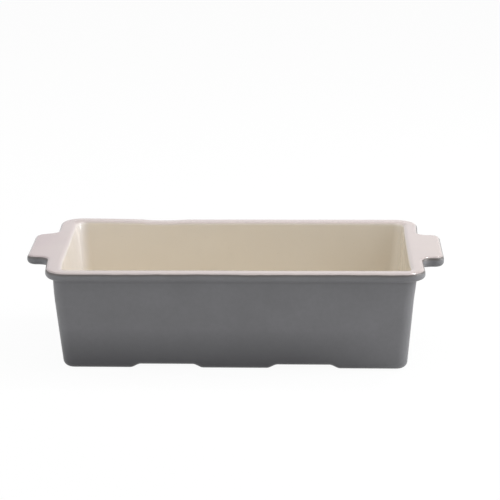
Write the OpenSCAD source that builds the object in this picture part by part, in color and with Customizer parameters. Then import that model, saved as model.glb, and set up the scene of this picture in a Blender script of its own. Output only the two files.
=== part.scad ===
// Deep lasagne dish, cast in stoneware as one piece, with a tab handle at each end.
// +X runs along the dish and +Z is up. The origin is the middle of the foot, on the table.

/* [Body] */
// Length of the rim over its outer edges, without the handles
rim_l = 350; // [270:1:420]
// Width of the rim over its outer edges
rim_w = 210; // [160:1:260]
// Height from the table to the top of the rim
dish_h = 95.5; // [60:0.5:120]
// Thickness of the walls
wall_t = 7; // [5:0.5:12]
// Thickness of the floor over the hollow of the foot
floor_t = 8.5; // [6:0.5:12]
// Slope of the walls from upright, in degrees
draft = 5.2; // [2:0.1:9]
// Radius of the upright corners outside
corner_r = 11; // [7:0.5:20]
// Radius of the upright corners inside
pocket_r = 10; // [8:0.5:20]
// Rounding between the walls and the floor inside
floor_r = 10; // [4:0.5:16]

/* [Rim] */
// Thickness of the rim and of the handles
rim_t = 8.75; // [6:0.25:12]
// How far the rim stands out past the wall
rim_out = 8; // [6:0.5:14]
// Radius of the rim's corners seen from above
rim_corner_r = 21; // [12:0.5:30]
// Rounding of the rim's upper edge
top_edge_r = 3.5; // [1:0.1:4]
// Rounding of the rim's lower edge
under_edge_r = 4; // [1:0.1:5]
// Rounding of the rim's inner edge, down into the dish
mouth_r = 5; // [2:0.1:8]
// Radius of the groove where the rim meets the wall
cove_r = 2.5; // [1:0.1:4]

/* [Handles] */
// Width of a handle across the dish
handle_w = 87; // [50:1:100]
// How far a handle stands out past the rim
handle_out = 20.5; // [15:0.5:35]
// Radius of a handle's outer corners
handle_corner_r = 9; // [5:0.5:14]
// Radius where a handle runs into the rim
handle_root_r = 10; // [3:0.5:12]

/* [Foot] */
// Rounding between the wall and the foot
foot_edge_r = 6.5; // [2:0.1:9]
// Width of the bare ring that the dish stands on
foot_w = 9; // [5:0.5:16]
// Height of the foot over the hollow inside it
foot_h = 3.5; // [2:0.25:5]
// Length of each drain notch in the long sides of the foot
notch_l = 58; // [30:1:80]
// Distance of each notch's middle from the middle of the dish
notch_x = 63.3; // [50:0.1:75]
// Length of the slope at each end of a notch
notch_ramp = 10; // [4:0.5:12]

/* [Hidden] */

// Steps round each curve: plan corners, handle curves, notch slopes, and the curves of the section
corner_steps = 8;
handle_steps = 5;
ramp_steps = 4;
section_steps = 5;
edge_steps = 4;

half_l = rim_l / 2;
half_w = rim_w / 2;
tip_x = half_l + handle_out;
under_z = dish_h - rim_t;
floor_z = foot_h + floor_t;

// A rounding never takes more than the stock that it is cut from
top_r = min(top_edge_r, 0.45 * rim_t);
under_r = min(under_edge_r, 0.5 * rim_t);
lip_r = min(mouth_r, 0.9 * wall_t);
groove_r = min(cove_r, rim_out - under_r - 0.5);
tab_corner_r = min(handle_corner_r, 0.5 * handle_out);
tab_root_r = min(handle_root_r, 0.5 * handle_out, half_w - rim_corner_r - handle_w / 2);

// Steps inward from the rim's edge to the outer and the inner face of the wall, at height z
function outer_face(z) = rim_out + (under_z - z) * tan(draft);
function inner_face(z) = outer_face(z) + wall_t / cos(draft);

// The section of the dish is drawn as [step inward from the rim's edge, height].
// An arc of it turns about c from angle a to angle b.
function arc(c, r, a, b, steps) =
    [for (k = [0:steps]) let (t = a + (b - a) * k / steps) c + r * [cos(t), sin(t)]];

// Each curve's middle lies its radius away from the two faces that it joins
floor_c = let (z = floor_z + floor_r)
    [inner_face(z - floor_r * sin(draft)) + floor_r * cos(draft), z];
lip_c = let (z = dish_h - lip_r)
    [inner_face(z + lip_r * sin(draft)) - lip_r * cos(draft), z];
groove_c = let (z = under_z - groove_r)
    [outer_face(z + groove_r * sin(draft)) - groove_r * cos(draft), z];
foot_c = [outer_face(foot_edge_r - foot_edge_r * sin(draft)) + foot_edge_r * cos(draft), foot_edge_r];

floor_curve = arc(floor_c, floor_r, 270, 180 + draft, section_steps);
lip_curve = arc(lip_c, lip_r, draft, 90, section_steps);
top_edge = arc([top_r, dish_h - top_r], top_r, 90, 180, edge_steps);
under_edge = arc([under_r, under_z + under_r], under_r, 180, 270, edge_steps);
groove_curve = arc(groove_c, groove_r, 90, draft, edge_steps - 1);
foot_curve = arc(foot_c, foot_edge_r, 180 + draft, 270, section_steps);
foot_ring = [[foot_c[0] + foot_w, 0], [foot_c[0] + foot_w + foot_h, foot_h]];

// Radius of a plan corner where the section has stepped in from a face whose own corner is r
function stepped_r(r, face, step) = max(1, r + face - step);

// One quarter of the rim's outline, with half a handle, stepped in evenly all round
function tab_quarter(step) = [
    each arc([tip_x - tab_corner_r, handle_w / 2 - tab_corner_r], tab_corner_r - step, 0, 90, handle_steps),
    each arc([half_l + tab_root_r, handle_w / 2 + tab_root_r], tab_root_r + step, 270, 180, handle_steps)
];

// The same points drawn in to a plain end, fanned out a little so that no two of them meet
fan = 0.1;
function plain_quarter(step) = [
    for (p = tab_quarter(top_r)) [half_l - step, p[1] - fan * (p[0] - half_l + top_r)]
];

function corner_quarter(step, r) = arc([half_l - step - r, half_w - step - r], r, 0, 90, corner_steps);

// Points along a long side where the foot rises into a notch and comes down again: [x, share of the rise]
function eased(t) = t * t * (3 - 2 * t);
notch_points = [
    for (end = [1, -1]) for (k = [0:ramp_steps]) let (t = k / ramp_steps)
        [notch_x + end * notch_l / 2 + notch_ramp * (0.5 - t), eased(end > 0 ? t : 1 - t)]
];

// The notched foot rises along the slope of the wall, so that the wall's face stays flat
function side_quarter(step, rise) = [
    for (p = notch_points) [p[0], half_w - step + p[1] * rise * tan(draft), p[1] * rise]
];

function lifted(points, z) = [for (p = points) [p[0], p[1], z + (len(p) > 2 ? p[2] : 0)]];

function mirrored(q, sx, sy) =
    let (n = len(q) - 1, turned = sx * sy < 0)
    [for (k = [0:n]) let (p = q[turned ? n - k : k]) [sx * p[0], sy * p[1], p[2]]];

function all_round(q) = [
    each q,
    each mirrored(q, -1, 1),
    each mirrored(q, -1, -1),
    each mirrored(q, 1, -1)
];

// A ring of the rim follows the handles, and a plain one is a rounded oblong
function rim_ring(s) =
    all_round(lifted([each tab_quarter(s[0]), each corner_quarter(s[0], rim_corner_r - s[0]),
                      each side_quarter(s[0], 0)], s[1]));
function plain_ring(s, r, rise = 0) =
    all_round(lifted([each plain_quarter(s[0]), each corner_quarter(s[0], r),
                      each side_quarter(s[0], rise)], s[1]));

// The rings of the skin in order: up the inside, over the rim, down the outside and under the foot
rings = [
    for (s = floor_curve) plain_ring(s, stepped_r(pocket_r, floor_curve[section_steps][0], s[0])),
    for (s = lip_curve) plain_ring(s, stepped_r(pocket_r, lip_curve[0][0], s[0])),
    for (s = top_edge) rim_ring(s),
    for (s = under_edge) rim_ring(s),
    for (s = groove_curve) plain_ring(s, stepped_r(corner_r, groove_curve[edge_steps - 1][0], s[0])),
    for (s = foot_curve) plain_ring(s, stepped_r(corner_r, foot_curve[0][0], s[0]), foot_h),
    plain_ring(foot_ring[0], stepped_r(corner_r, foot_curve[0][0], foot_ring[0][0]), foot_h),
    plain_ring(foot_ring[1], stepped_r(corner_r, foot_curve[0][0], foot_ring[1][0]))
];

// A closed skin over flat-ended rings that all have the same number of points.
// Each end is a fan of triangles about the ring's middle, which lies on the Z axis.
module loft(rings) {
    n = len(rings[0]);
    last = len(rings) - 1;
    start_mid = n * (last + 1);
    end_mid = start_mid + 1;
    polyhedron(
        points = [
            for (ring = rings) each ring,
            [0, 0, rings[0][0][2]],
            [0, 0, rings[last][0][2]]
        ],
        faces = [
            for (k = [0:n - 1]) [(k + 1) % n, k, start_mid],
            for (i = [0:last - 1]) for (k = [0:n - 1])
                let (a = i * n + k, b = i * n + (k + 1) % n, c = b + n, d = a + n)
                each [[a, b, c], [a, c, d]],
            for (k = [0:n - 1]) [last * n + k, last * n + (k + 1) % n, end_mid]
        ],
        convexity = 6
    );
}

module dish() color([0.43, 0.43, 0.44]) loft(rings);

dish();
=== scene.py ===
"""A deep stoneware lasagne dish, dressed in its two glazes and set on a pale studio floor."""

import math

import bmesh
import bpy
from bpy.props import FloatProperty, FloatVectorProperty, PointerProperty
from mathutils import Matrix, Vector, noise


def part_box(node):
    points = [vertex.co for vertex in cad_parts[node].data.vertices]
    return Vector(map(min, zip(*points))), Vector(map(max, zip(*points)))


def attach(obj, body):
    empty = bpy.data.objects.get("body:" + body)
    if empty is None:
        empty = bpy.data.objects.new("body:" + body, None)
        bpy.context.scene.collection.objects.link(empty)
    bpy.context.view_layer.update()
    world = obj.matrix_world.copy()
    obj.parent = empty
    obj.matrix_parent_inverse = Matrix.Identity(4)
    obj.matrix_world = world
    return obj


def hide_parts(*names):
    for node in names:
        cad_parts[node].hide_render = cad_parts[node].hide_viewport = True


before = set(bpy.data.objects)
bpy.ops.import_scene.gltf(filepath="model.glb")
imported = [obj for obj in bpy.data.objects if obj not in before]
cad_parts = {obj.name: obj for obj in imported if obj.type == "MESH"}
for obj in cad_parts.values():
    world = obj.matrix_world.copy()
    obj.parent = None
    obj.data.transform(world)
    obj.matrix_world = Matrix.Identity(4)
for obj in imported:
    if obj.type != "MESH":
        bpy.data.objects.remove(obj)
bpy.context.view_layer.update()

bl_info = {
    "name": "Lasagne Dish",
    "version": (1, 0, 0),
    "blender": (4, 5, 0),
    "location": "View3D > Sidebar > Dish",
    "description": "Casts a stoneware lasagne dish, glazes it and lights it on a pale floor",
    "category": "Object",
}

MM = 0.001
QUARTER = math.pi / 2
CAD_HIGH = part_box("dish")[1]


def srgb(code):
    """A hex sRGB colour such as "#d9cbc6" as linear red, green and blue."""
    parts = [int(code[k : k + 2], 16) / 255 for k in (1, 3, 5)]
    return tuple(c / 12.92 if c <= 0.04045 else ((c + 0.055) / 1.055) ** 2.4 for c in parts)


def rgba(colour):
    return (*colour, 1.0)


def length(name, description, millimetres, least=0.0):
    """A length that a user may change, in metres, with its default given in millimetres."""
    return FloatProperty(
        name=name, description=description, default=millimetres * MM, unit="LENGTH", min=least
    )


def angle(name, description, degrees):
    """An angle that a user may change, with its default given in degrees."""
    return FloatProperty(
        name=name, description=description, default=math.radians(degrees), subtype="ANGLE"
    )


def colour(name, description, code):
    """A colour that a user may change."""
    return FloatVectorProperty(
        name=name, description=description, default=srgb(code), subtype="COLOR", size=3, min=0.0, max=1.0
    )


def factor(name, description, value):
    """A share from 0 to 1 that a user may change."""
    return FloatProperty(
        name=name, description=description, default=value, subtype="FACTOR", min=0.0, max=1.0
    )


def power(name, description, watts):
    """A lamp's strength that a user may change."""
    return FloatProperty(name=name, description=description, default=watts, unit="POWER", min=0.0)


class DishShape(bpy.types.PropertyGroup):
    """Sizes of the casting. Its overall length, width and height come from the frame."""

    wall: length("Wall", "Thickness of the walls", 7.0)
    floor: length("Floor", "Thickness of the floor over the hollow foot", 8.5)
    draft: angle("Draft", "Slope of the walls from upright", 5.2)
    corner: length("Outer corner", "Radius of the upright corners outside", 11.0)
    pocket: length("Inner corner", "Radius of the upright corners inside", 10.0)
    mouth_corner: length("Mouth corner", "Radius of the inner corners where the walls meet the rim", 8.0)
    floor_round: length("Floor rounding", "Rounding between walls and floor inside", 10.0)
    rim: length("Rim", "Thickness of the rim and handles", 8.75)
    overhang: length("Overhang", "How far the rim stands out past the wall", 8.0)
    rim_corner: length("Rim corner", "Radius of the rim's corners seen from above", 21.0)
    top_edge: length("Top edge", "Rounding of the rim's upper edge", 3.5)
    under_edge: length("Under edge", "Rounding of the rim's lower edge", 4.0)
    mouth: length("Mouth", "Rounding of the rim's inner edge", 3.5)
    end_flare: length("End flare", "How much farther out the mouth opens at its two ends", 1.5)
    cove: length("Cove", "Radius of the groove where rim meets wall", 2.5)
    handle_width: length("Handle width", "Width of a handle across the dish", 87.0)
    handle_reach: length("Handle reach", "How far a handle stands out past the rim", 20.5)
    handle_corner: length("Handle corner", "Radius of a handle's outer corners", 9.0)
    handle_root: length("Handle root", "Radius where a handle runs into the rim", 10.0)
    foot_edge: length("Foot edge", "Rounding between wall and foot", 6.5)
    foot_width: length("Foot width", "Width of the bare ring that the dish stands on", 9.0)
    foot_height: length("Foot height", "Height of the foot over the hollow inside it", 3.5)
    notch_length: length("Notch length", "Length of each drain notch in the foot", 58.0)
    notch_place: length("Notch place", "Distance of a notch's middle from the dish's middle", 63.3)
    notch_ramp: length("Notch slope", "Length of the slope at each end of a notch", 10.0)
    wander: length("Wander", "How far the cast walls stray from true in the kiln", 0.35)
    wander_span: length("Wander span", "Distance over which the walls stray once", 105.0)
    foot_lean: length("Foot lean", "How far the kiln has pushed the foot towards one handle", 1.2)
    rim_tilt: angle("Rim tilt", "How far the rim is out of level along the dish", 0.13)
    pocket_shift: length("Pocket shift", "How far the inside lies off the middle of the casting", 0.9)
    near_creep: length("Near creep", "How far the near side of the rim has crept towards one handle", 0.6)
    corner_pull: length("Corner pull", "How far one near corner of the rim has drawn in", 1.7)
    corner_lift: length("Corner lift", "How far one far corner of the rim stands high", 0.9)
    corner_spread: length("Corner spread", "How far the far corners of the rim are pushed out", 0.9)
    rim_dip: length("Rim dip", "How far the far side of the rim sags beside the high corner", 0.9)
    handle_sag: length("Handle sag", "How far the underside of one handle has slumped", 1.5)
    glaze_wave: length("Glaze line wave", "How far the line between the glazes wanders", 0.4)
    line_width: length("Glaze line width", "How far the overlap of the glazes shows below their line", 2.6)


class DishGlazes(bpy.types.PropertyGroup):
    """Colours and gloss of the finishes."""

    grey: colour("Grey glaze", "Satin glaze outside", "#818184")
    # Deep grey is the glaze's own darker tone in its clouds and mottle, and also painted shade in the crease
    # under the rim
    grey_deep_and_shade: colour("Deep grey", "The same glaze where it lies thick", "#6d6d6f")
    # Painted shade: the grey darkens towards the foot, less and less towards the end nearer the key lamp
    grey_foot_shade: colour("Grey at the foot", "The same glaze where it has run down to the foot", "#545457")
    cream: colour("Cream glaze", "Glaze inside the dish", "#e6ded0")
    cream_deep: colour("Deep cream", "The same glaze where it lies thick", "#d6c8b1")
    # Painted light: the cream is whiter on the end wall that faces the key lamp at the right
    cream_painted_light: colour("Thin cream", "The same glaze on the end that it was poured out over", "#e3dedb")
    # Rim glaze: its greyer tone is partly the cream lying thin on the rim and partly painted sheen of the
    # overhead light
    cream_rim_and_sheen: colour("Rim glaze", "The cream glaze where it lies thin on the rim", "#bfb2b0")
    # Painted shade: the rim glaze is darker on the handle at the end away from the key lamp
    rim_painted_shade: colour("Rim shade", "The rim glaze on the handle that the cream ran out over", "#b6a5a7")
    fleck: colour("Fleck", "Iron specks in the cream glaze", "#b79f7c")
    glaze_line: colour("Glaze line", "Where the cream coat runs over the grey", "#5a534f")
    clay: colour("Bare clay", "Fired stoneware where the foot is wiped clean", "#c9b8a0")
    clay_dark: colour("Clay grain", "Darker grains in the bare clay", "#a8947a")
    grey_roughness: factor("Grey roughness", "0 is a mirror", 0.40)
    cream_roughness: factor("Cream roughness", "0 is a mirror", 0.13)


class DishStudio(bpy.types.PropertyGroup):
    """Floor, lamps and the camera's place."""

    floor: colour("Floor", "How the pale paper shows", "#ffffff")
    floor_bounce: colour("Floor bounce", "The paper's own colour, as it lights the dish", "#d8d8d8")
    floor_whiteness: factor("Floor whiteness", "Share of the floor's look that takes no shadow", 0.95)
    bearing: angle("Bearing", "Camera's turn about the dish", 1.432)
    pitch: angle("Pitch", "How far the camera looks down", 14.623)
    roll: angle("Roll", "Camera's lean to one side", -0.085)
    stand_off: length("Stand-off", "Distance along the view to the middle of the rim", 2146.7)
    rim_right: length("Rim right", "How far right of the view's axis the rim's middle is", -13.08, least=-1.0)
    rim_up: length("Rim up", "How far above the view's axis the rim's middle is", 4.63, least=-1.0)
    focal: FloatProperty(name="Lens", description="Focal length of the camera", default=162.39, unit="CAMERA")
    key: power("Key", "Strength of the softbox at the right", 17.3)
    top: power("Top", "Strength of the overhead softbox", 8.3)
    side: power("Side", "Strength of the softbox at the left", 3.5)
    spot: power("Spot", "Strength of the small lamp high at the right", 5.0)
    fill: factor("Fill", "Strength of the room's own light", 0.416)


def add_node(tree, kind, values=None, links=None, **settings):
    """Adds a shader node with its settings, its socket values and its incoming links."""
    node = tree.nodes.new(kind)
    for name, value in settings.items():
        setattr(node, name, value)
    for socket, value in (values or {}).items():
        node.inputs[socket].default_value = value
    for socket, source in (links or {}).items():
        tree.links.new(source, node.inputs[socket])
    return node


def per_length(millimetres):
    """The scale that gives a pattern in object space features about this far apart."""
    return 1.0 / (millimetres * MM)


def mixed(a, b, t):
    return a + (b - a) * t


def eased(t):
    """0 to 1 along a curve that starts and ends level."""
    return t * t * (3 - 2 * t)


def clamped(t):
    return min(1.0, max(0.0, t))


def spread(start, end, count):
    """Evenly spaced numbers from start to end, both included."""
    return [mixed(start, end, k / (count - 1)) for k in range(count)]


def arc(centre, radius, start, end, steps):
    """Points of an arc about centre, from one angle to another, in radians."""
    turns = [start + (end - start) * k / steps for k in range(steps + 1)]
    return [(centre[0] + radius * math.cos(t), centre[1] + radius * math.sin(t)) for t in turns]


# The form of the dish


class Section:
    """The dish's section as (step inward from the rim's edge, height), and its outline from above."""

    # Steps round a plan corner, round each curve of a handle, and along each slope of a notch
    CORNER_STEPS = 14
    HANDLE_STEPS = 9
    RAMP_STEPS = 8

    # Points of each straight run of a ring, with its two ends: the handle's front, the dish's end beside it,
    # and the long side before, along and after its notch
    HANDLE_FRONT = 7
    END_RUN = 6
    BEFORE_NOTCH = 7
    ALONG_NOTCH = 9
    AFTER_NOTCH = 6

    # Half the gap that a ring leaves at the middle of each side, where its quarters meet
    HALF_GAP = 4 * MM
    SMALLEST_CORNER = 1.0 * MM
    # Slope at which the handle's points fan out where a ring has a plain end
    FAN = 0.1

    def __init__(self, shape):
        self.shape = shape
        self.height = CAD_HIGH.z
        self.half_length = CAD_HIGH.x - shape.handle_reach
        self.half_width = CAD_HIGH.y
        self.under = self.height - shape.rim
        self.slope = math.tan(shape.draft)

    def outer(self, z):
        """Step inward from the rim's edge to the outer face of the wall, at a height."""
        return self.shape.overhang + (self.under - z) * self.slope

    def inner(self, z):
        """The same to its inner face."""
        return self.outer(z) + self.shape.wall / math.cos(self.shape.draft)

    def floor_curve(self, steps):
        s, d = self.shape, self.shape.draft
        z = s.foot_height + s.floor + s.floor_round
        step = self.inner(z - s.floor_round * math.sin(d)) + s.floor_round * math.cos(d)
        return arc((step, z), s.floor_round, 3 * QUARTER, 2 * QUARTER + d, steps)

    def mouth_curve(self, steps):
        s, d = self.shape, self.shape.draft
        z = self.height - s.mouth
        step = self.inner(z + s.mouth * math.sin(d)) - s.mouth * math.cos(d)
        return arc((step, z), s.mouth, d, QUARTER, steps)

    def top_edge(self, steps):
        r = self.shape.top_edge
        return arc((r, self.height - r), r, QUARTER, 2 * QUARTER, steps)

    def under_edge(self, steps):
        r = self.shape.under_edge
        return arc((r, self.under + r), r, 2 * QUARTER, 3 * QUARTER, steps)

    def cove_curve(self, steps):
        s, d = self.shape, self.shape.draft
        z = self.under - s.cove
        step = self.outer(z + s.cove * math.sin(d)) - s.cove * math.cos(d)
        return arc((step, z), s.cove, QUARTER, d, steps)

    def foot_curve(self, steps):
        s, d = self.shape, self.shape.draft
        step = self.outer(s.foot_edge * (1 - math.sin(d))) + s.foot_edge * math.cos(d)
        return arc((step, s.foot_edge), s.foot_edge, 2 * QUARTER + d, 3 * QUARTER, steps)

    def tab_points(self, step):
        """One quarter of the rim's outline at a handle, stepped in evenly all round."""
        s = self.shape
        tip = self.half_length + s.handle_reach
        side = s.handle_width / 2
        front = spread(self.HALF_GAP, side - s.handle_corner, self.HANDLE_FRONT)[:-1]
        corner_middle = (tip - s.handle_corner, side - s.handle_corner)
        corner = arc(corner_middle, s.handle_corner - step, 0, QUARTER, self.HANDLE_STEPS)
        root_middle = (self.half_length + s.handle_root, side + s.handle_root)
        root = arc(root_middle, s.handle_root + step, 3 * QUARTER, 2 * QUARTER, self.HANDLE_STEPS)
        return [(tip - step, y) for y in front] + corner + root

    def plain_points(self, end):
        """The same points drawn in to a plain end, fanned a little so that no two of them meet."""
        side = self.shape.handle_width / 2
        edge = self.half_length - self.shape.top_edge
        return [
            (end, y - self.FAN * (x - edge) * min(1.0, y / side))
            for x, y in self.tab_points(self.shape.top_edge)
        ]

    def round_the_side(self, x, y, corner, rise):
        """The rest of a quarter, as (x, y, lift): the end, the corner, and the long side with its notch."""
        s = self.shape
        end = [(x, t) for t in spread(s.handle_width / 2 + s.handle_root, y - corner, self.END_RUN)[1:-1]]
        bend = arc((x - corner, y - corner), corner, 0, QUARTER, self.CORNER_STEPS)
        notch_out = s.notch_place + s.notch_length / 2
        notch_in = s.notch_place - s.notch_length / 2
        half_ramp = s.notch_ramp / 2
        ramp_points = self.RAMP_STEPS + 1
        before = spread(x - corner, notch_out + half_ramp, self.BEFORE_NOTCH)[1:-1]
        climb = spread(notch_out + half_ramp, notch_out - half_ramp, ramp_points)
        top = spread(notch_out - half_ramp, notch_in + half_ramp, self.ALONG_NOTCH)[1:-1]
        fall = spread(notch_in + half_ramp, notch_in - half_ramp, ramp_points)
        after = spread(notch_in - half_ramp, self.HALF_GAP, self.AFTER_NOTCH)[1:]
        shares = (
            [0.0] * len(before)
            + [eased(k / self.RAMP_STEPS) for k in range(ramp_points)]
            + [1.0] * len(top)
            + [eased(1 - k / self.RAMP_STEPS) for k in range(ramp_points)]
            + [0.0] * len(after)
        )
        along = before + climb + top + fall + after
        side = [(t, y + share * rise * self.slope, share * rise) for t, share in zip(along, shares)]
        return [(px, py, 0.0) for px, py in end + bend] + side

    def ring(self, point, corner, tab=False, rise=0.0, flare=0.0):
        """A closed ring of points round the dish at one point of its section, its ends set out by flare."""
        step, z = point
        end, side = self.half_length - step + flare, self.half_width - step
        start = self.tab_points(step) if tab else self.plain_points(end)
        quarter = [(x, y, 0.0) for x, y in start]
        quarter += self.round_the_side(end, side, max(corner, self.SMALLEST_CORNER), rise)
        ring = []
        for sx, sy in ((1, 1), (-1, 1), (-1, -1), (1, -1)):
            turned = quarter if sx == sy else quarter[::-1]
            ring += [Vector((sx * x, sy * y, z + up)) for x, y, up in turned]
        return ring


def rings_between(a, b, count):
    """Rings that lie evenly between two rings, without the two."""
    return [
        [p.lerp(q, k / (count + 1)) for p, q in zip(a, b)]
        for k in range(1, count + 1)
    ]


def shrunk(ring, share):
    """A smaller copy of a ring about the Z axis, for the flat of the floor and of the foot's hollow."""
    return [Vector((share * p.x, share * p.y, p.z)) for p in ring]


# Material slots of the finishes
CREAM, GREY, CLAY = 0, 1, 2

# Steps round each curve of the section, and rings on the faces between them
FLOOR_STEPS = 10
INNER_WALL_RINGS = 9
MOUTH_STEPS = 9
RIM_TOP_RINGS = 5
UNDER_EDGE_STEPS = 8
OVERHANG_RINGS = 3
COVE_STEPS = 6
OUTER_WALL_RINGS = 11
FOOT_STEPS = 9
# The glazes meet halfway round the rim's upper edge, with this many steps on either side
HALF_EDGE = 6
# The last rings of the foot's curve, from which on it is wiped clean of glaze
WIPED_RINGS = 2
# Sizes of the rings on a flat as shares of the ring round it, from the outside in
FLAT_SHARES = (0.9, 0.75, 0.55, 0.35, 0.15)


def dish_skin(shape):
    """The skin's rings in order, each with the finish of the band after it, and the glaze line's row."""
    cut = Section(shape)
    skin = []

    def lay(rings, coat):
        skin.extend((ring, coat) for ring in rings)

    def lay_between(ring, count, coat):
        lay(rings_between(skin[-1][0], ring, count), coat)

    def follow(points, face_corner, face_step, rise=0.0):
        return [cut.ring(p, face_corner + face_step - p[0], rise=rise) for p in points]

    floor_line = cut.floor_curve(FLOOR_STEPS)
    floor_rings = follow(floor_line, shape.pocket, floor_line[-1][0])
    lay([shrunk(floor_rings[0], share) for share in reversed(FLAT_SHARES)], CREAM)
    lay(floor_rings, CREAM)

    mouth_rings = []
    for k, point in enumerate(cut.mouth_curve(MOUTH_STEPS)):
        up = k / MOUTH_STEPS
        corner = mixed(shape.pocket, shape.mouth_corner, up)
        flare = shape.end_flare * (1 - math.cos(QUARTER * up))
        mouth_rings.append(cut.ring(point, corner, flare=flare))
    lay_between(mouth_rings[0], INNER_WALL_RINGS, CREAM)
    lay(mouth_rings, CREAM)
    for ring, _ in skin:
        for point in ring:
            point.x += shape.pocket_shift

    def rim_ring(point):
        return cut.ring(point, shape.rim_corner - point[0], tab=True)

    top_rings = [rim_ring(p) for p in cut.top_edge(2 * HALF_EDGE)]
    lay_between(top_rings[0], RIM_TOP_RINGS, CREAM)
    lay(top_rings[:HALF_EDGE], CREAM)
    glaze_line = len(skin)
    lay(top_rings[HALF_EDGE:], GREY)
    lay([rim_ring(p) for p in cut.under_edge(UNDER_EDGE_STEPS)], GREY)

    cove_line = cut.cove_curve(COVE_STEPS)
    cove_rings = follow(cove_line, shape.corner, cove_line[-1][0])
    lay_between(cove_rings[0], OVERHANG_RINGS, GREY)
    lay(cove_rings, GREY)

    foot_line = cut.foot_curve(FOOT_STEPS)
    foot_rings = follow(foot_line, shape.corner, foot_line[0][0], rise=shape.foot_height)
    lay_between(foot_rings[0], OUTER_WALL_RINGS, GREY)
    lay(foot_rings[:-WIPED_RINGS], GREY)
    lay(foot_rings[-WIPED_RINGS:], CLAY)

    corner_from = shape.corner + foot_line[0][0]
    foot_in = foot_line[-1][0] + shape.foot_width
    hollow = foot_in + shape.foot_height
    lay([cut.ring((foot_in, 0.0), corner_from - foot_in, rise=shape.foot_height)], CLAY)
    hollow_ring = cut.ring((hollow, shape.foot_height), corner_from - hollow)
    lay([hollow_ring] + [shrunk(hollow_ring, share) for share in FLAT_SHARES], GREY)
    return skin, glaze_line


def build_skin(name, skin, materials):
    """Joins the rings into a closed mesh and closes each end with a fan about the middle."""
    bm = bmesh.new()
    rows = [[bm.verts.new(p) for p in ring] for ring, _ in skin]
    count = len(rows[0])

    def face(corners, coat):
        made = bm.faces.new(corners)
        made.material_index = coat
        made.smooth = True

    for (low, (_, coat)), high in zip(zip(rows, skin), rows[1:]):
        for k in range(count):
            n = (k + 1) % count
            face((low[k], high[k], high[n], low[n]), coat)
    for row, coat, facing_up in ((rows[0], skin[0][1], True), (rows[-1], skin[-1][1], False)):
        middle = bm.verts.new((0.0, 0.0, row[0].co.z))
        for k in range(count):
            n = (k + 1) % count
            face((middle, row[k], row[n]) if facing_up else (middle, row[n], row[k]), coat)
    bm.normal_update()
    mesh = bpy.data.meshes.new(name)
    bm.to_mesh(mesh)
    bm.free()
    for material in materials:
        mesh.materials.append(material)
    piece = bpy.data.objects.new(name, mesh)
    bpy.context.scene.collection.objects.link(piece)
    return piece


# The line between the glazes strays in long waves with short ones half as high on them, this far apart in
# millimetres, and never by more than this share of the rim's rounded edge
LONG_WAVE = 16.0
SHORT_WAVE = 6.0
MOST_SWAY = 0.2


def wave_glaze_line(skin, first, last, shape):
    """Slides the rings of the rim's rounded edge along it, so that the line between the glazes wanders."""
    steps = last - first
    edge = [ring for ring, _ in skin[first : last + 1]]
    along_edge = QUARTER * shape.top_edge
    for k, start in enumerate(edge[steps // 2]):
        wave = noise.noise(start * per_length(LONG_WAVE)) + 0.5 * noise.noise(start * per_length(SHORT_WAVE))
        sway = max(-MOST_SWAY, min(MOST_SWAY, wave * shape.glaze_wave / along_edge))
        column = [ring[k] for ring in edge]
        for row in range(1, steps):
            # The slide is whole at the middle of the edge and fades to nothing at its two ends
            t = row / steps
            place = steps * (t + sway * 4 * t * (1 - t))
            whole = min(steps - 1, int(place))
            skin[first + row][0][k] = column[whole].lerp(column[whole + 1], place - whole)


def risen(metres, start, end):
    """0 up to start, 1 from end on, and eased between them. The two are in millimetres."""
    return eased(clamped((metres / MM - start) / (end - start)))


# Where each of the kiln's pulls starts and where it is whole, in millimetres: heights from the table, and
# places along and across the dish from its middle
LOOSE_WALL = (2, 30)
UPPER_WALL = (66, 82)
LONG_SIDE = (50, 95)
DRAWN_CORNER = (100, 170)
SPREAD_CORNER_START = 140
LIFT_ACROSS = (0, 45)
LIFT_ALONG = (80, 150)
LIFT_ON_HANDLE = (-196, -178)
DIP_ALONG = (50, 68)
DIP_BESIDE_CORNER = (-100, -85)
# Place in the noise that the kiln's drift is read from, and its seed, which keeps each run the same
DRIFT_PLACE = Vector((3.1, 7.7, 1.9))
DRIFT_SEED = 5


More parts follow.
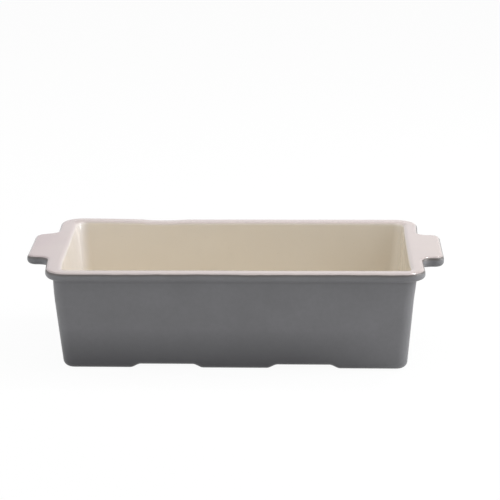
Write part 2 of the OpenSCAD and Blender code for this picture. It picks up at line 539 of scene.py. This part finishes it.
def fire_in_kiln(mesh, shape):
    """Moves the casting gently off true, as clay does in the kiln. The foot stays flat on its table."""
    rim_end = (CAD_HIGH.x - shape.handle_reach) / MM
    rim_under = (CAD_HIGH.z - shape.rim) / MM
    above_underside = (rim_under - 4, rim_under + 1)
    at_underside = (rim_under - 2, rim_under)
    at_handle_root = (rim_end - 5, rim_end + 5)
    noise.seed_set(DRIFT_SEED)
    for vertex in mesh.vertices:
        at = vertex.co
        share_up = at.z / CAD_HIGH.z
        drift = noise.noise_vector(at / shape.wander_span + DRIFT_PLACE)
        move = drift * shape.wander * risen(at.z, *LOOSE_WALL)
        move.x += shape.foot_lean * (1 - share_up)
        move.z += math.tan(shape.rim_tilt) * at.x * share_up

        near, far, upper = risen(-at.y, *LONG_SIDE), risen(at.y, *LONG_SIDE), risen(at.z, *UPPER_WALL)
        drawn = shape.corner_pull * risen(at.z, *above_underside) * risen(-at.x, *DRAWN_CORNER)
        move.x += near * (shape.near_creep * upper + drawn)
        pushed = math.copysign(shape.corner_spread, at.x) * upper * far
        move.x += pushed * risen(abs(at.x), SPREAD_CORNER_START, rim_end)
        lifted = risen(at.y, *LIFT_ACROSS) * risen(-at.x, *LIFT_ALONG) * risen(at.x, *LIFT_ON_HANDLE)
        move.z += shape.corner_lift * upper * lifted
        move.z -= shape.rim_dip * upper * far * risen(-at.x, *DIP_ALONG) * risen(at.x, *DIP_BESIDE_CORNER)

        slump = risen(at.x, *at_handle_root) * risen(at.z, *at_underside)
        move.z -= shape.handle_sag * slump * min(1.0, (CAD_HIGH.z - at.z) / shape.rim)
        vertex.co = at + move


# The rim's tone, where the cream lies thin and where its sheen is painted, starts this far below the rim's
# top, and is whole after this much more height. Both are shares of the rounding of the rim's inner edge.
RIM_TONE_BELOW = 0.85
RIM_TONE_OVER = 0.75


def paint_shares(mesh, skin, line_row, shape):
    """Stores how far each point lies up on the rim, and how near it is to the line between the glazes."""
    turn_over = CAD_HIGH.z - RIM_TONE_BELOW * shape.mouth
    line = skin[line_row][0]
    rim_share, line_near = [], []
    for row, (ring, _) in enumerate(skin):
        beside_line = abs(row - line_row) < 2 * HALF_EDGE
        for k, point in enumerate(ring):
            rim_share.append(eased(clamped((point.z - turn_over) / (RIM_TONE_OVER * shape.mouth))))
            distance = (point - line[k]).length if beside_line else math.inf
            line_near.append(max(0.0, 1.0 - distance / shape.line_width))
    # The middles of the floor and of the foot's hollow come last in the mesh
    for shares in (rim_share, line_near):
        shares += [0.0, 0.0]
    for name, values in (("rim_share", rim_share), ("line_near", line_near)):
        mesh.attributes.new(name, "FLOAT", "POINT").data.foreach_set("value", values)


# Finishes


def principled(material, values, links):
    tree = material.node_tree
    surface = add_node(tree, "ShaderNodeBsdfPrincipled", values, links)
    add_node(tree, "ShaderNodeOutputMaterial", links={"Surface": surface.outputs["BSDF"]})
    return material


def new_material(name):
    """An empty node material, its tree, and the place of each point in the dish's own space."""
    material = bpy.data.materials.new(name)
    material.use_nodes = True
    tree = material.node_tree
    tree.nodes.clear()
    return material, tree, add_node(tree, "ShaderNodeTexCoord").outputs["Object"]


def noise_at(tree, place, millimetres, detail=2.0):
    """Cloudy noise whose features lie about this far apart."""
    made = add_node(
        tree, "ShaderNodeTexNoise", {"Scale": per_length(millimetres), "Detail": detail}, {"Vector": place}
    )
    return made.outputs["Fac"]


def ramped(tree, value, low, high, to_low=0.0, to_high=1.0):
    """A value taken from one range to another, and held at the ends."""
    ends = {"From Min": low, "From Max": high, "To Min": to_low, "To Max": to_high}
    return add_node(tree, "ShaderNodeMapRange", ends, {"Value": value}).outputs["Result"]


def product(tree, first, second):
    return add_node(
        tree, "ShaderNodeMath", links={0: first, 1: second}, operation="MULTIPLY"
    ).outputs["Value"]


# Places of the Mix node's factor, two colours and mixed colour among its sockets
MIX_FACTOR, MIX_A, MIX_B, MIX_RESULT = 0, 6, 7, 2


def blended(tree, share, first, second):
    """Two colours mixed by a share. Each is a colour or the output of another node."""
    values, links = {}, {MIX_FACTOR: share}
    for socket, tint in ((MIX_A, first), (MIX_B, second)):
        if isinstance(tint, bpy.types.NodeSocket):
            links[socket] = tint
        else:
            values[socket] = rgba(tint)
    return add_node(tree, "ShaderNodeMix", values, links, data_type="RGBA").outputs[MIX_RESULT]


def rippled(tree, heights):
    """A surface normal with layers of relief, each a height and its depth in millimetres."""
    normal = None
    for height, depth in heights:
        links = {"Height": height}
        if normal is not None:
            links["Normal"] = normal
        normal = add_node(
            tree, "ShaderNodeBump", {"Strength": 1.0, "Distance": depth * MM}, links
        ).outputs["Normal"]
    return normal


def stored(tree, name):
    return add_node(tree, "ShaderNodeAttribute", attribute_name=name).outputs["Fac"]


# Parts of the noise's range: its whole usual swing, and the swing that leaves patches, grains or specks
SWING = (0.3, 0.7)
PATCHES = (0.35, 0.75)
GRAINS = (0.3, 0.75)
SPECKS = (0.70, 0.78)

# Places along the dish between which painted light whitens the cream on the wall, and painted shade darkens
# the rim glaze on the handle, at the end away from the key lamp
LIT_END_WALL = (-148 * MM, -156 * MM)
SHADED_END_HANDLE = (-155 * MM, -190 * MM)
# Heights between which it grows thick towards the floor inside
THICK_FLOOR = (30 * MM, 12 * MM)


def cream_glaze_poured(glazes):
    """Glossy cream glaze, poured in and swirled out: warm where it is thick, thin and greyer on the rim with
    painted sheen, and painted light on one end wall and painted shade on its handle.
    """
    material, tree, place = new_material("cream_glaze_poured")
    axes = add_node(tree, "ShaderNodeSeparateXYZ", links={"Vector": place}).outputs
    # Painted light: the cream turns whiter on the end wall that faces the key lamp
    wall = blended(tree, ramped(tree, axes["X"], *LIT_END_WALL), glazes.cream, glazes.cream_painted_light)
    # Painted shade: the rim glaze darkens on the handle at that end
    rim = blended(tree, ramped(tree, axes["X"], *SHADED_END_HANDLE), glazes.cream_rim_and_sheen, glazes.rim_painted_shade)
    # On the rim the tone is partly thin glaze and partly painted sheen
    tint = blended(tree, stored(tree, "rim_share"), wall, rim)
    tint = blended(tree, ramped(tree, axes["Z"], *THICK_FLOOR, 0.0, 0.5), tint, glazes.cream_deep)
    patches = ramped(tree, noise_at(tree, place, 45.0), *PATCHES, 0.0, 0.10)
    tint = blended(tree, patches, tint, glazes.cream_deep)
    # Iron flecks are a few tenths of a millimetre wide, and are drawn at about a millimetre to show
    flecks = ramped(tree, noise_at(tree, place, 2.2), *SPECKS, 0.0, 0.14)
    tint = blended(tree, flecks, tint, glazes.fleck)
    tint = blended(tree, ramped(tree, stored(tree, "line_near"), 0.0, 1.0, 0.0, 0.25), tint, glazes.grey)
    gloss = glazes.cream_roughness
    roughness = ramped(tree, noise_at(tree, place, 18.0), *SWING, gloss - 0.03, gloss + 0.04)
    relief = rippled(tree, [(noise_at(tree, place, 32.0), 0.10), (noise_at(tree, place, 3.0), 0.006)])
    return principled(
        material,
        {"IOR": 1.52, "Metallic": 0.0},
        {"Base Color": tint, "Roughness": roughness, "Normal": relief},
    )


# Painted shade darkens the grey towards the foot between these heights, and less and less between these
# places along the dish, towards the right end
FOOT_SHADE_HEIGHTS = (40 * MM, 2 * MM)
FOOT_SHADE_FADES = (60 * MM, 150 * MM)
# Painted shade darkens the grey round the lower edge of the rim, and fades upward and downward between these
# heights
SHADE_FROM_ABOVE = (90.5 * MM, 87.5 * MM)
SHADE_FROM_BELOW = (83 * MM, 86 * MM)


def satin_grey_glaze_dipped(glazes):
    """Satin grey glaze, dipped aslant: soft sheen over faint clouds, with painted shade towards the foot and
    under the rim.
    """
    material, tree, place = new_material("satin_grey_glaze_dipped")
    clouds = ramped(tree, noise_at(tree, place, 38.0, 4.0), *SWING, 0.0, 0.35)
    tint = blended(tree, clouds, glazes.grey, glazes.grey_deep_and_shade)
    mottle = ramped(tree, noise_at(tree, place, 4.0), *PATCHES, 0.0, 0.18)
    tint = blended(tree, mottle, tint, glazes.grey_deep_and_shade)
    axes = add_node(tree, "ShaderNodeSeparateXYZ", links={"Vector": place}).outputs
    # Painted shade towards the foot, fading towards the right end
    along = ramped(tree, axes["X"], *FOOT_SHADE_FADES, 1.0, 0.15)
    foot_shade = product(tree, along, ramped(tree, axes["Z"], *FOOT_SHADE_HEIGHTS))
    tint = blended(tree, foot_shade, tint, glazes.grey_foot_shade)
    # Painted shade in the crease under the rim's lower edge
    below_top = ramped(tree, axes["Z"], *SHADE_FROM_ABOVE, 0.0, 0.6)
    under_rim_shade = product(tree, below_top, ramped(tree, axes["Z"], *SHADE_FROM_BELOW))
    tint = blended(tree, under_rim_shade, tint, glazes.grey_deep_and_shade)
    overlap = ramped(tree, stored(tree, "line_near"), 0.0, 0.6, 0.0, 0.8)
    tint = blended(tree, overlap, tint, glazes.glaze_line)
    gloss = glazes.grey_roughness
    roughness = ramped(tree, noise_at(tree, place, 7.0, 3.0), *SWING, gloss - 0.05, gloss + 0.06)
    # The satin skin has a grain finer than a tenth of a millimetre, drawn at about a millimetre to show
    relief = rippled(
        tree,
        [
            (noise_at(tree, place, 26.0), 0.16),
            (noise_at(tree, place, 5.0), 0.02),
            (noise_at(tree, place, 1.1), 0.004),
        ],
    )
    return principled(
        material,
        {"IOR": 1.5, "Metallic": 0.0},
        {"Base Color": tint, "Roughness": roughness, "Normal": relief},
    )


def bare_stoneware_fired(glazes):
    """Unglazed stoneware, sponged clean and fired: dry, buff and sandy to the touch."""
    material, tree, place = new_material("bare_stoneware_fired")
    grain = noise_at(tree, place, 1.2, 4.0)
    tint = blended(tree, ramped(tree, grain, *GRAINS), glazes.clay, glazes.clay_dark)
    relief = rippled(tree, [(grain, 0.06)])
    return principled(
        material,
        {"IOR": 1.45, "Metallic": 0.0, "Roughness": 0.86},
        {"Base Color": tint, "Normal": relief},
    )


def seen_as_background(tree):
    """1 where a surface or the room is seen straight or in a reflection, and 0 where it only gives light."""
    path = add_node(tree, "ShaderNodeLightPath")
    seen = path.outputs["Is Camera Ray"]
    for kind in ("Is Glossy Ray", "Is Transmission Ray"):
        links = {0: seen, 1: path.outputs[kind]}
        seen = add_node(tree, "ShaderNodeMath", links=links, operation="MAXIMUM").outputs["Value"]
    return seen


def pale_paper_rolled(studio):
    """Matt photographer's paper. It shows close to white, and keeps part of the shadow that falls on it."""
    material = bpy.data.materials.new("pale_paper_rolled")
    material.use_nodes = True
    tree = material.node_tree
    tree.nodes.clear()
    seen = seen_as_background(tree)
    tint = blended(tree, seen, studio.floor_bounce, studio.floor)
    paper = add_node(tree, "ShaderNodeBsdfDiffuse", links={"Color": tint})
    glow = add_node(tree, "ShaderNodeEmission", {"Color": rgba(studio.floor), "Strength": 1.0})
    share = add_node(tree, "ShaderNodeMath", {1: studio.floor_whiteness}, {0: seen}, operation="MULTIPLY")
    both = add_node(
        tree,
        "ShaderNodeMixShader",
        links={0: share.outputs["Value"], 1: paper.outputs["BSDF"], 2: glow.outputs["Emission"]},
    )
    add_node(tree, "ShaderNodeOutputMaterial", links={"Surface": both.outputs["Shader"]})
    return material


# The studio

FLOOR_REACH = 12.0
WHITE = (1.0, 1.0, 1.0)
# What the softboxes face, and where each hangs with its width and height, in metres
DISH_MIDDLE = (0.0, 0.0, 0.06)
SOFTBOXES = {
    "key": {"place": (1.44, 0.03, 0.76), "size": (0.6, 1.5)},
    "top": {"place": (0.00, 0.28, 1.64), "size": (1.9, 1.1)},
    "side": {"place": (-1.30, -0.47, 0.86), "size": (0.6, 1.2)},
    "spot": {"place": (0.66, 0.45, 1.25), "size": (0.22, 0.16)},
}


def lay_floor(studio):
    mesh = bpy.data.meshes.new("floor")
    corners = [(x * FLOOR_REACH, y * FLOOR_REACH, 0) for x, y in ((-1, -1), (1, -1), (1, 1), (-1, 1))]
    mesh.from_pydata(corners, [], [(0, 1, 2, 3)])
    mesh.materials.append(pale_paper_rolled(studio))
    floor = bpy.data.objects.new("floor", mesh)
    bpy.context.scene.collection.objects.link(floor)


def light_room(scene, studio):
    """An even room. Its light on the dish is grey, and where it is seen it is white."""
    world = bpy.data.worlds.new("room")
    world.use_nodes = True
    tree = world.node_tree
    tree.nodes.clear()
    strength = ramped(tree, seen_as_background(tree), 0.0, 1.0, studio.fill, 1.0)
    air = add_node(tree, "ShaderNodeBackground", {"Color": rgba(WHITE)}, {"Strength": strength})
    add_node(tree, "ShaderNodeOutputWorld", links={"Surface": air.outputs["Background"]})
    scene.world = world


def hang_softbox(name, watts, place, size):
    lamp = bpy.data.lights.new(name, "AREA")
    lamp.shape = "RECTANGLE"
    lamp.size, lamp.size_y = size
    lamp.energy = watts
    box = bpy.data.objects.new(name, lamp)
    aim = (Vector(DISH_MIDDLE) - Vector(place)).to_track_quat("-Z", "Y")
    box.matrix_world = Matrix.Translation(place) @ aim.to_matrix().to_4x4()
    bpy.context.scene.collection.objects.link(box)


# What the panel's buttons do


class DISH_OT_place_camera(bpy.types.Operator):
    """Stands the camera in front of one long side, a little above the rim"""

    bl_idname = "dish.place_camera"
    bl_label = "Place camera"

    def execute(self, context):
        studio = context.scene.dish_studio
        view = Matrix.Rotation(studio.bearing, 3, "Z") @ Matrix.Rotation(QUARTER - studio.pitch, 3, "X")
        view = view @ Matrix.Rotation(studio.roll, 3, "Z")
        right, up, back = view.col
        rim_middle = Vector((0.0, 0.0, CAD_HIGH.z))
        place = rim_middle - right * studio.rim_right - up * studio.rim_up + back * studio.stand_off
        lens = bpy.data.cameras.new("camera")
        lens.lens = studio.focal
        lens.sensor_width = 36.0
        lens.clip_end = 100.0
        camera = bpy.data.objects.new("camera", lens)
        camera.matrix_world = Matrix.Translation(place) @ view.to_4x4()
        context.scene.collection.objects.link(camera)
        context.scene.camera = camera
        return {"FINISHED"}


class DISH_OT_cast_dish(bpy.types.Operator):
    """Casts the dish as one closed skin and coats it in its glazes"""

    bl_idname = "dish.cast_dish"
    bl_label = "Cast dish"

    def execute(self, context):
        shape, glazes = context.scene.dish_shape, context.scene.dish_glazes
        skin, glaze_line = dish_skin(shape)
        wave_glaze_line(skin, glaze_line - HALF_EDGE, glaze_line + HALF_EDGE, shape)
        coats = [cream_glaze_poured(glazes), satin_grey_glaze_dipped(glazes), bare_stoneware_fired(glazes)]
        piece = build_skin("stoneware_dish", skin, coats)
        paint_shares(piece.data, skin, glaze_line, shape)
        fire_in_kiln(piece.data, shape)
        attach(piece, "root")
        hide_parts("dish")
        return {"FINISHED"}


class DISH_OT_set_stage(bpy.types.Operator):
    """Lays the pale floor, lights the room and hangs the softboxes"""

    bl_idname = "dish.set_stage"
    bl_label = "Set stage"

    def execute(self, context):
        studio = context.scene.dish_studio
        lay_floor(studio)
        light_room(context.scene, studio)
        for name, box in SOFTBOXES.items():
            hang_softbox(name, getattr(studio, name), **box)
        return {"FINISHED"}


class DISH_PT_panel(bpy.types.Panel):
    """The steps that make the dish, in order"""

    bl_idname = "DISH_PT_panel"
    bl_label = "Lasagne dish"
    bl_space_type = "VIEW_3D"
    bl_region_type = "UI"
    bl_category = "Dish"

    def draw(self, context):
        for operator in OPERATORS:
            self.layout.operator(operator.bl_idname)
        for group in (context.scene.dish_shape, context.scene.dish_glazes, context.scene.dish_studio):
            box = self.layout.box()
            for name in group.bl_rna.properties.keys():
                if name not in ("rna_type", "name"):
                    box.prop(group, name)


OPERATORS = (DISH_OT_place_camera, DISH_OT_cast_dish, DISH_OT_set_stage)
GROUPS = {"dish_shape": DishShape, "dish_glazes": DishGlazes, "dish_studio": DishStudio}


def register():
    for group in GROUPS.values():
        bpy.utils.register_class(group)
    for name, group in GROUPS.items():
        setattr(bpy.types.Scene, name, PointerProperty(type=group))
    for operator in OPERATORS:
        bpy.utils.register_class(operator)
    bpy.utils.register_class(DISH_PT_panel)


def unregister():
    bpy.utils.unregister_class(DISH_PT_panel)
    for operator in reversed(OPERATORS):
        bpy.utils.unregister_class(operator)
    for name in GROUPS:
        delattr(bpy.types.Scene, name)
    for group in reversed(GROUPS.values()):
        bpy.utils.unregister_class(group)


def main():
    register()
    bpy.context.scene.view_settings.view_transform = "Standard"
    bpy.ops.dish.place_camera()
    bpy.ops.dish.cast_dish()
    bpy.ops.dish.set_stage()


if __name__ == "__main__":
    main()
